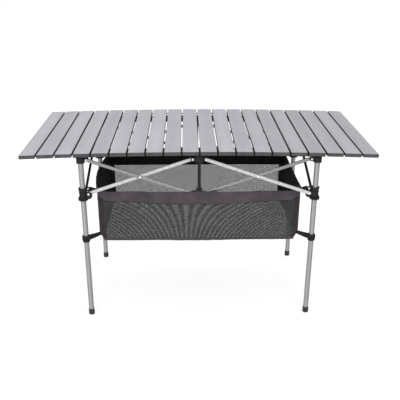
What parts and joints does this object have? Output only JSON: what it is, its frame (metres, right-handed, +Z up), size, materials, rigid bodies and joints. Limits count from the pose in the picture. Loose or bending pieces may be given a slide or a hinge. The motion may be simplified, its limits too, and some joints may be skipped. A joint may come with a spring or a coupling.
{
  "type": "camp kitchen table",
  "caption": "Folding camp table with a roll-up slatted metal top, a scissor frame on round legs and a mesh basket hung under the top.",
  "frame": {"origin": "middle of the footprint, on the surface that the feet stand on", "axes": "+X along the table's length to its right end, +Y to the back, +Z up"},
  "size_m": [1.1998, 0.561, 0.658],
  "materials": {
    "slat_aluminium": "brushed, anodised",
    "tube_metal": "satin",
    "black_bar": "satin",
    "black_rail": "satin black",
    "black_plastic": "matte",
    "foot_rubber": "matte",
    "basket_fabric": "woven",
    "basket_mesh": "open mesh",
    "webbing": "woven webbing",
    "rivet_metal": "polished",
    "elastic_cord": "braided"
  },
  "bodies": {
    "top_hub_front": {"top_hub_front": "black_plastic"},
    "bar_front_right_falling": {"bar_front_right_falling": "tube_metal"},
    "bar_front_left_rising": {"bar_front_left_rising": "tube_metal"},
    "bar_front_left_falling": {"bar_front_left_falling": "tube_metal"},
    "lower_hub_front": {"lower_hub_front": "black_plastic", "basket": "basket_fabric"},
    "leg_front_left": {"leg_front_left": "tube_metal", "foot_front_left": "foot_rubber", "corner_hub_front_left": "black_plastic"},
    "slider_front_left": {"slider_front_left": "black_plastic", "collar_front_left": "black_plastic"},
    "bar_front_right_rising": {"bar_front_right_rising": "tube_metal"},
    "leg_front_right": {"leg_front_right": "tube_metal", "foot_front_right": "foot_rubber", "corner_hub_front_right": "black_plastic"},
    "slider_front_right": {"slider_front_right": "black_plastic", "collar_front_right": "black_plastic"},
    "bar_left_falling": {"bar_left_falling": "black_bar"},
    "bar_left_rising": {"bar_left_rising": "black_bar"},
    "slider_back_left": {"slider_back_left": "black_plastic", "collar_back_left": "black_plastic"},
    "leg_back_left": {"leg_back_left": "tube_metal", "foot_back_left": "foot_rubber", "corner_hub_back_left": "black_plastic"},
    "bar_right_falling": {"bar_right_falling": "black_bar"},
    "bar_right_rising": {"bar_right_rising": "black_bar"},
    "slider_back_right": {"slider_back_right": "black_plastic", "collar_back_right": "black_plastic"},
    "leg_back_right": {"leg_back_right": "tube_metal", "foot_back_right": "foot_rubber", "corner_hub_back_right": "black_plastic"},
    "bar_back_left_falling": {"bar_back_left_falling": "tube_metal"},
    "bar_back_left_rising": {"bar_back_left_rising": "tube_metal"},
    "top_hub_back": {"top_hub_back": "black_plastic"},
    "lower_hub_back": {"lower_hub_back": "black_plastic"},
    "bar_back_right_rising": {"bar_back_right_rising": "tube_metal"},
    "bar_back_right_falling": {"bar_back_right_falling": "tube_metal"},
    "rail_front": {"rail_front": "black_rail"},
    "rail_back": {"rail_back": "black_rail"},
    "slat_01": {"slat_01": "slat_aluminium"},
    "slat_02": {"slat_02": "slat_aluminium"},
    "slat_03": {"slat_03": "slat_aluminium"},
    "slat_04": {"slat_04": "slat_aluminium"},
    "slat_05": {"slat_05": "slat_aluminium"},
    "slat_06": {"slat_06": "slat_aluminium"},
    "slat_07": {"slat_07": "slat_aluminium"},
    "slat_08": {"slat_08": "slat_aluminium"},
    "slat_09": {"slat_09": "slat_aluminium"},
    "slat_10": {"slat_10": "slat_aluminium"},
    "slat_11": {"slat_11": "slat_aluminium"},
    "slat_12": {"slat_12": "slat_aluminium"},
    "slat_13": {"slat_13": "slat_aluminium"},
    "slat_14": {"slat_14": "slat_aluminium"},
    "slat_15": {"slat_15": "slat_aluminium"},
    "slat_16": {"slat_16": "slat_aluminium"},
    "slat_17": {"slat_17": "slat_aluminium"},
    "slat_18": {"slat_18": "slat_aluminium"},
    "slat_19": {"slat_19": "slat_aluminium"},
    "slat_20": {"slat_20": "slat_aluminium"}
  },
  "joints": [
    {"name": "frame_fold", "type": "hinge", "parent": "top_hub_front", "child": "bar_front_right_falling", "pos_m": [0.023, -0.2285, 0.615], "axis": [0, 1, 0], "range_deg": [0, 58], "deforming": ["basket"]},
    {"name": "top_hub_front_left_pivot", "type": "hinge", "parent": "top_hub_front", "child": "bar_front_left_rising", "pos_m": [-0.023, -0.2285, 0.615], "axis": [0, 1, 0], "range_deg": [-58, 0]},
    {"name": "cross_front_left_pivot", "type": "hinge", "parent": "bar_front_left_rising", "child": "bar_front_left_falling", "pos_m": [-0.2045, -0.2285, 0.552], "axis": [0, 1, 0], "range_deg": [0, 116]},
    {"name": "lower_hub_front_pivot", "type": "hinge", "parent": "bar_front_left_falling", "child": "lower_hub_front", "pos_m": [-0.023, -0.2285, 0.489], "axis": [0, 1, 0], "range_deg": [-58, 0]},
    {"name": "corner_front_left_pivot", "type": "hinge", "parent": "bar_front_left_falling", "child": "leg_front_left", "pos_m": [-0.386, -0.2285, 0.615], "axis": [0, 1, 0], "range_deg": [-58, 0]},
    {"name": "slider_front_left_pivot", "type": "hinge", "parent": "bar_front_left_rising", "child": "slider_front_left", "pos_m": [-0.386, -0.2285, 0.489], "axis": [0, 1, 0], "range_deg": [0, 58]},
    {"name": "cross_front_right_pivot", "type": "hinge", "parent": "bar_front_right_falling", "child": "bar_front_right_rising", "pos_m": [0.2045, -0.2285, 0.552], "axis": [0, 1, 0], "range_deg": [-116, 0]},
    {"name": "corner_front_right_pivot", "type": "hinge", "parent": "bar_front_right_rising", "child": "leg_front_right", "pos_m": [0.386, -0.2285, 0.615], "axis": [0, 1, 0], "range_deg": [0, 58]},
    {"name": "slider_front_right_pivot", "type": "hinge", "parent": "bar_front_right_falling", "child": "slider_front_right", "pos_m": [0.386, -0.2285, 0.489], "axis": [0, 1, 0], "range_deg": [-58, 0]},
    {"name": "corner_front_left_end_pivot", "type": "hinge", "parent": "leg_front_left", "child": "bar_left_falling", "pos_m": [-0.406, -0.1815, 0.615], "axis": [-1, 0, 0], "range_deg": [0, 58]},
    {"name": "cross_left_end_pivot", "type": "hinge", "parent": "bar_left_falling", "child": "bar_left_rising", "pos_m": [-0.406, 0, 0.552], "axis": [-1, 0, 0], "range_deg": [-116, 0]},
    {"name": "slider_back_left_end_pivot", "type": "hinge", "parent": "bar_left_falling", "child": "slider_back_left", "pos_m": [-0.406, 0.1815, 0.489], "axis": [-1, 0, 0], "range_deg": [-58, 0]},
    {"name": "corner_back_left_end_pivot", "type": "hinge", "parent": "bar_left_rising", "child": "leg_back_left", "pos_m": [-0.406, 0.1815, 0.615], "axis": [-1, 0, 0], "range_deg": [0, 58]},
    {"name": "corner_front_right_end_pivot", "type": "hinge", "parent": "leg_front_right", "child": "bar_right_falling", "pos_m": [0.406, -0.1815, 0.615], "axis": [-1, 0, 0], "range_deg": [0, 58]},
    {"name": "cross_right_end_pivot", "type": "hinge", "parent": "bar_right_falling", "child": "bar_right_rising", "pos_m": [0.406, 0, 0.552], "axis": [-1, 0, 0], "range_deg": [-116, 0]},
    {"name": "slider_back_right_end_pivot", "type": "hinge", "parent": "bar_right_falling", "child": "slider_back_right", "pos_m": [0.406, 0.1815, 0.489], "axis": [-1, 0, 0], "range_deg": [-58, 0]},
    {"name": "corner_back_right_end_pivot", "type": "hinge", "parent": "bar_right_rising", "child": "leg_back_right", "pos_m": [0.406, 0.1815, 0.615], "axis": [-1, 0, 0], "range_deg": [0, 58]},
    {"name": "corner_back_left_pivot", "type": "hinge", "parent": "leg_back_left", "child": "bar_back_left_falling", "pos_m": [-0.386, 0.2285, 0.615], "axis": [0, 1, 0], "range_deg": [0, 58]},
    {"name": "cross_back_left_pivot", "type": "hinge", "parent": "bar_back_left_falling", "child": "bar_back_left_rising", "pos_m": [-0.2045, 0.2285, 0.552], "axis": [0, 1, 0], "range_deg": [-116, 0]},
    {"name": "top_hub_back_pivot", "type": "hinge", "parent": "bar_back_left_rising", "child": "top_hub_back", "pos_m": [-0.023, 0.2285, 0.615], "axis": [0, 1, 0], "range_deg": [0, 58]},
    {"name": "lower_hub_back_pivot", "type": "hinge", "parent": "bar_back_left_falling", "child": "lower_hub_back", "pos_m": [-0.023, 0.2285, 0.489], "axis": [0, 1, 0], "range_deg": [-58, 0]},
    {"name": "corner_back_right_pivot", "type": "hinge", "parent": "leg_back_right", "child": "bar_back_right_rising", "pos_m": [0.386, 0.2285, 0.615], "axis": [0, 1, 0], "range_deg": [-58, 0]},
    {"name": "cross_back_right_pivot", "type": "hinge", "parent": "bar_back_right_rising", "child": "bar_back_right_falling", "pos_m": [0.2045, 0.2285, 0.552], "axis": [0, 1, 0], "range_deg": [0, 116]},
    {"name": "top_lift", "type": "slide", "parent": "top_hub_front", "child": "slat_01", "axis": [0, 0, 1], "range_m": [0, 0.25]},
    {"name": "rail_front_lift", "type": "slide", "parent": "top_hub_front", "child": "rail_front", "axis": [0, 0, 1], "range_m": [0, 0.125]},
    {"name": "rail_back_lift", "type": "slide", "parent": "top_hub_front", "child": "rail_back", "axis": [0, 0, 1], "range_m": [0, 0.125]},
    {"name": "top_roll", "type": "hinge", "parent": "slat_01", "child": "slat_02", "pos_m": [-0.5445, 0, 0.64919], "axis": [0, -1, 0], "range_deg": [0, 34]},
    {"name": "slat_02_03_link", "type": "hinge", "parent": "slat_02", "child": "slat_03", "pos_m": [-0.484, 0, 0.65104], "axis": [0, -1, 0], "range_deg": [0, 34.73]},
    {"name": "slat_03_04_link", "type": "hinge", "parent": "slat_03", "child": "slat_04", "pos_m": [-0.4235, 0, 0.65267], "axis": [0, -1, 0], "range_deg": [0, 35.49]},
    {"name": "slat_04_05_link", "type": "hinge", "parent": "slat_04", "child": "slat_05", "pos_m": [-0.363, 0, 0.65408], "axis": [0, -1, 0], "range_deg": [0, 36.3]},
    {"name": "slat_05_06_link", "type": "hinge", "parent": "slat_05", "child": "slat_06", "pos_m": [-0.3025, 0, 0.65528], "axis": [0, -1, 0], "range_deg": [0, 37.18]},
    {"name": "slat_06_07_link", "type": "hinge", "parent": "slat_06", "child": "slat_07", "pos_m": [-0.242, 0, 0.65626], "axis": [0, -1, 0], "range_deg": [0, 38.12]},
    {"name": "slat_07_08_link", "type": "hinge", "parent": "slat_07", "child": "slat_08", "pos_m": [-0.1815, 0, 0.65702], "axis": [0, -1, 0], "range_deg": [0, 39.14]},
    {"name": "slat_08_09_link", "type": "hinge", "parent": "slat_08", "child": "slat_09", "pos_m": [-0.121, 0, 0.65756], "axis": [0, -1, 0], "range_deg": [0, 40.25]},
    {"name": "slat_09_10_link", "type": "hinge", "parent": "slat_09", "child": "slat_10", "pos_m": [-0.0605, 0, 0.65789], "axis": [0, -1, 0], "range_deg": [0, 41.45]},
    {"name": "slat_10_11_link", "type": "hinge", "parent": "slat_10", "child": "slat_11", "pos_m": [0, 0, 0.658], "axis": [0, -1, 0], "range_deg": [0, 42.77]},
    {"name": "slat_11_12_link", "type": "hinge", "parent": "slat_11", "child": "slat_12", "pos_m": [0.0605, 0, 0.65789], "axis": [0, -1, 0], "range_deg": [0, 44.22]},
    {"name": "slat_12_13_link", "type": "hinge", "parent": "slat_12", "child": "slat_13", "pos_m": [0.121, 0, 0.65756], "axis": [0, -1, 0], "range_deg": [0, 45.84]},
    {"name": "slat_13_14_link", "type": "hinge", "parent": "slat_13", "child": "slat_14", "pos_m": [0.1815, 0, 0.65702], "axis": [0, -1, 0], "range_deg": [0, 47.64]},
    {"name": "slat_14_15_link", "type": "hinge", "parent": "slat_14", "child": "slat_15", "pos_m": [0.242, 0, 0.65626], "axis": [0, -1, 0], "range_deg": [0, 49.67]},
    {"name": "slat_15_16_link", "type": "hinge", "parent": "slat_15", "child": "slat_16", "pos_m": [0.3025, 0, 0.65528], "axis": [0, -1, 0], "range_deg": [0, 52]},
    {"name": "slat_16_17_link", "type": "hinge", "parent": "slat_16", "child": "slat_17", "pos_m": [0.363, 0, 0.65408], "axis": [0, -1, 0], "range_deg": [0, 54.68]},
    {"name": "slat_17_18_link", "type": "hinge", "parent": "slat_17", "child": "slat_18", "pos_m": [0.4235, 0, 0.65267], "axis": [0, -1, 0], "range_deg": [0, 57.83]},
    {"name": "slat_18_19_link", "type": "hinge", "parent": "slat_18", "child": "slat_19", "pos_m": [0.484, 0, 0.65104], "axis": [0, -1, 0], "range_deg": [0, 61.6]},
    {"name": "slat_19_20_link", "type": "hinge", "parent": "slat_19", "child": "slat_20", "pos_m": [0.5445, 0, 0.64919], "axis": [0, -1, 0], "range_deg": [0, 66.22]}
  ],
  "couplings": [
    {"joint": "top_hub_front_left_pivot", "follows": "frame_fold", "ratio": -1},
    {"joint": "cross_front_left_pivot", "follows": "frame_fold", "ratio": 2},
    {"joint": "lower_hub_front_pivot", "follows": "frame_fold", "ratio": -1},
    {"joint": "corner_front_left_pivot", "follows": "frame_fold", "ratio": -1},
    {"joint": "slider_front_left_pivot", "follows": "frame_fold", "ratio": 1},
    {"joint": "cross_front_right_pivot", "follows": "frame_fold", "ratio": -2},
    {"joint": "corner_front_right_pivot", "follows": "frame_fold", "ratio": 1},
    {"joint": "slider_front_right_pivot", "follows": "frame_fold", "ratio": -1},
    {"joint": "corner_front_left_end_pivot", "follows": "frame_fold", "ratio": 1},
    {"joint": "cross_left_end_pivot", "follows": "frame_fold", "ratio": -2},
    {"joint": "slider_back_left_end_pivot", "follows": "frame_fold", "ratio": -1},
    {"joint": "corner_back_left_end_pivot", "follows": "frame_fold", "ratio": 1},
    {"joint": "corner_front_right_end_pivot", "follows": "frame_fold", "ratio": 1},
    {"joint": "cross_right_end_pivot", "follows": "frame_fold", "ratio": -2},
    {"joint": "slider_back_right_end_pivot", "follows": "frame_fold", "ratio": -1},
    {"joint": "corner_back_right_end_pivot", "follows": "frame_fold", "ratio": 1},
    {"joint": "corner_back_left_pivot", "follows": "frame_fold", "ratio": 1},
    {"joint": "cross_back_left_pivot", "follows": "frame_fold", "ratio": -2},
    {"joint": "top_hub_back_pivot", "follows": "frame_fold", "ratio": 1},
    {"joint": "lower_hub_back_pivot", "follows": "frame_fold", "ratio": -1},
    {"joint": "corner_back_right_pivot", "follows": "frame_fold", "ratio": -1},
    {"joint": "cross_back_right_pivot", "follows": "frame_fold", "ratio": 2},
    {"joint": "rail_front_lift", "follows": "top_lift", "ratio": 0.5},
    {"joint": "rail_back_lift", "follows": "top_lift", "ratio": 0.5},
    {"joint": "slat_02_03_link", "follows": "top_roll", "ratio": 1.0211},
    {"joint": "slat_03_04_link", "follows": "top_roll", "ratio": 1.0435},
    {"joint": "slat_04_05_link", "follows": "top_roll", "ratio": 1.0675},
    {"joint": "slat_05_06_link", "follows": "top_roll", "ratio": 1.0933},
    {"joint": "slat_06_07_link", "follows": "top_roll", "ratio": 1.121},
    {"joint": "slat_07_08_link", "follows": "top_roll", "ratio": 1.151},
    {"joint": "slat_08_09_link", "follows": "top_roll", "ratio": 1.1834},
    {"joint": "slat_09_10_link", "follows": "top_roll", "ratio": 1.2188},
    {"joint": "slat_10_11_link", "follows": "top_roll", "ratio": 1.2576},
    {"joint": "slat_11_12_link", "follows": "top_roll", "ratio": 1.3003},
    {"joint": "slat_12_13_link", "follows": "top_roll", "ratio": 1.3478},
    {"joint": "slat_13_14_link", "follows": "top_roll", "ratio": 1.4008},
    {"joint": "slat_14_15_link", "follows": "top_roll", "ratio": 1.4607},
    {"joint": "slat_15_16_link", "follows": "top_roll", "ratio": 1.529},
    {"joint": "slat_16_17_link", "follows": "top_roll", "ratio": 1.6079},
    {"joint": "slat_17_18_link", "follows": "top_roll", "ratio": 1.7005},
    {"joint": "slat_18_19_link", "follows": "top_roll", "ratio": 1.8114},
    {"joint": "slat_19_20_link", "follows": "top_roll", "ratio": 1.9475}
  ]
}
